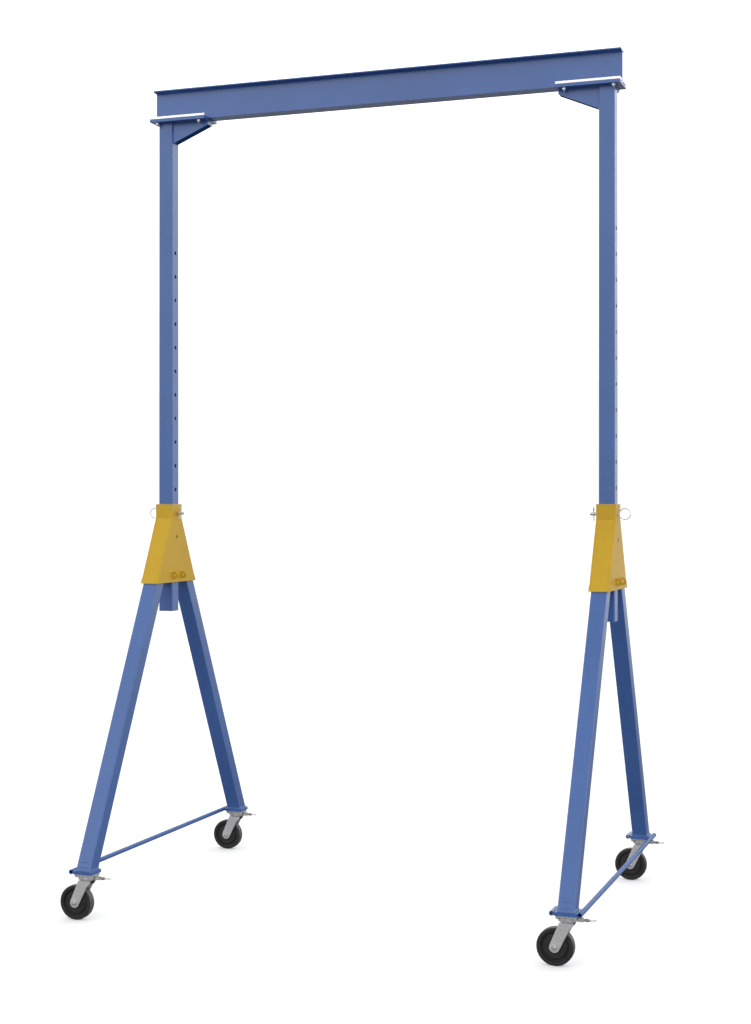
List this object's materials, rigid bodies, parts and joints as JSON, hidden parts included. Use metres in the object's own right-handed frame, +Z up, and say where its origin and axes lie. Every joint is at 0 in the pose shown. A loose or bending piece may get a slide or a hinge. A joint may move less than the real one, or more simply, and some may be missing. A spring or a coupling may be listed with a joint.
{
  "type": "portable gantry crane",
  "caption": "Adjustable-height steel gantry crane: an I-beam on pinned telescoping posts in A-frames, rolling on lockable swivel casters.",
  "frame": {"origin": "on the floor, under the middle of the bounding box", "axes": "+X along the bridge beam towards the right A-frame, +Y from the front feet to the rear feet, +Z up"},
  "size_m": [3.1916, 2.2186, 5.1002],
  "materials": {
    "blue_enamel": "semi-gloss baked enamel",
    "yellow_enamel": "semi-gloss baked enamel",
    "zinc_plate": "bright zinc plate",
    "black_phenolic": "moulded phenolic resin"
  },
  "bodies": {
    "base_frame": {"left_frame_head": "yellow_enamel", "left_front_leg": "blue_enamel", "left_rear_leg": "blue_enamel", "left_front_foot_plate": "blue_enamel", "left_rear_foot_plate": "blue_enamel", "left_tie_pipe": "blue_enamel", "right_frame_head": "yellow_enamel", "right_front_leg": "blue_enamel", "right_rear_leg": "blue_enamel", "right_front_foot_plate": "blue_enamel", "right_rear_foot_plate": "blue_enamel", "right_tie_pipe": "blue_enamel", "front_left_caster_plate": "zinc_plate", "front_right_caster_plate": "zinc_plate", "rear_left_caster_plate": "zinc_plate", "rear_right_caster_plate": "zinc_plate"},
    "upper_frame": {"bridge_beam": "blue_enamel", "left_post": "blue_enamel", "left_beam_seat": "blue_enamel", "left_knee_brace": "blue_enamel", "left_front_clamp_bar": "zinc_plate", "left_front_clamp_bolt_inner": "zinc_plate", "left_front_clamp_bolt_outer": "zinc_plate", "left_rear_clamp_bar": "zinc_plate", "left_rear_clamp_bolt_inner": "zinc_plate", "left_rear_clamp_bolt_outer": "zinc_plate", "right_post": "blue_enamel", "right_beam_seat": "blue_enamel", "right_knee_brace": "blue_enamel", "right_front_clamp_bar": "zinc_plate", "right_front_clamp_bolt_inner": "zinc_plate", "right_front_clamp_bolt_outer": "zinc_plate", "right_rear_clamp_bar": "zinc_plate", "right_rear_clamp_bolt_inner": "zinc_plate", "right_rear_clamp_bolt_outer": "zinc_plate"},
    "left_pin": {"left_lock_pin": "zinc_plate", "left_pin_ring": "zinc_plate"},
    "left_clip": {"left_hairpin_clip": "zinc_plate"},
    "right_pin": {"right_lock_pin": "zinc_plate", "right_pin_ring": "zinc_plate"},
    "right_clip": {"right_hairpin_clip": "zinc_plate"},
    "front_left_caster": {"front_left_caster_fork": "zinc_plate", "front_left_axle": "zinc_plate"},
    "front_left_wheel_body": {"front_left_wheel": "black_phenolic"},
    "front_left_lock": {"front_left_swivel_lock": "zinc_plate"},
    "front_right_caster": {"front_right_caster_fork": "zinc_plate", "front_right_axle": "zinc_plate"},
    "front_right_wheel_body": {"front_right_wheel": "black_phenolic"},
    "front_right_lock": {"front_right_swivel_lock": "zinc_plate"},
    "rear_left_caster": {"rear_left_caster_fork": "zinc_plate", "rear_left_axle": "zinc_plate"},
    "rear_left_wheel_body": {"rear_left_wheel": "black_phenolic"},
    "rear_left_lock": {"rear_left_swivel_lock": "zinc_plate"},
    "rear_right_caster": {"rear_right_caster_fork": "zinc_plate", "rear_right_axle": "zinc_plate"},
    "rear_right_wheel_body": {"rear_right_wheel": "black_phenolic"},
    "rear_right_lock": {"rear_right_swivel_lock": "zinc_plate"}
  },
  "joints": [
    {"name": "height_adjust", "type": "slide", "parent": "base_frame", "child": "upper_frame", "axis": [0, 0, 1], "range_m": [-1.6764, 0.1524]},
    {"name": "left_pin_slide", "type": "slide", "parent": "base_frame", "child": "left_pin", "axis": [-1, 0, 0], "range_m": [0, 0.022]},
    {"name": "left_clip_slide", "type": "slide", "parent": "left_pin", "child": "left_clip", "axis": [0, 0, 1], "range_m": [0, 0.06]},
    {"name": "right_pin_slide", "type": "slide", "parent": "base_frame", "child": "right_pin", "axis": [1, 0, 0], "range_m": [0, 0.022]},
    {"name": "right_clip_slide", "type": "slide", "parent": "right_pin", "child": "right_clip", "axis": [0, 0, 1], "range_m": [0, 0.06]},
    {"name": "front_left_swivel", "type": "hinge", "parent": "base_frame", "child": "front_left_caster", "pos_m": [-1.4288, -1.0518, 0.25], "axis": [0, 0, 1], "continuous": true},
    {"name": "front_left_roll", "type": "hinge", "parent": "front_left_caster", "child": "front_left_wheel_body", "pos_m": [-1.4942, -1.0518, 0.1016], "axis": [0, 1, 0], "continuous": true},
    {"name": "front_left_lock_slide", "type": "slide", "parent": "base_frame", "child": "front_left_lock", "axis": [-1, 0, 0], "range_m": [0, 0.0068]},
    {"name": "front_right_swivel", "type": "hinge", "parent": "base_frame", "child": "front_right_caster", "pos_m": [1.4408, -1.0518, 0.25], "axis": [0, 0, 1], "continuous": true},
    {"name": "front_right_roll", "type": "hinge", "parent": "front_right_caster", "child": "front_right_wheel_body", "pos_m": [1.3754, -1.0518, 0.1016], "axis": [0, 1, 0], "continuous": true},
    {"name": "front_right_lock_slide", "type": "slide", "parent": "base_frame", "child": "front_right_lock", "axis": [-1, 0, 0], "range_m": [0, 0.0068]},
    {"name": "rear_left_swivel", "type": "hinge", "parent": "base_frame", "child": "rear_left_caster", "pos_m": [-1.4288, 1.0518, 0.25], "axis": [0, 0, 1], "continuous": true},
    {"name": "rear_left_roll", "type": "hinge", "parent": "rear_left_caster", "child": "rear_left_wheel_body", "pos_m": [-1.4942, 1.0518, 0.1016], "axis": [0, 1, 0], "continuous": true},
    {"name": "rear_left_lock_slide", "type": "slide", "parent": "base_frame", "child": "rear_left_lock", "axis": [-1, 0, 0], "range_m": [0, 0.0068]},
    {"name": "rear_right_swivel", "type": "hinge", "parent": "base_frame", "child": "rear_right_caster", "pos_m": [1.4408, 1.0518, 0.25], "axis": [0, 0, 1], "continuous": true},
    {"name": "rear_right_roll", "type": "hinge", "parent": "rear_right_caster", "child": "rear_right_wheel_body", "pos_m": [1.3754, 1.0518, 0.1016], "axis": [0, 1, 0], "continuous": true},
    {"name": "rear_right_lock_slide", "type": "slide", "parent": "base_frame", "child": "rear_right_lock", "axis": [-1, 0, 0], "range_m": [0, 0.0068]}
  ]
}
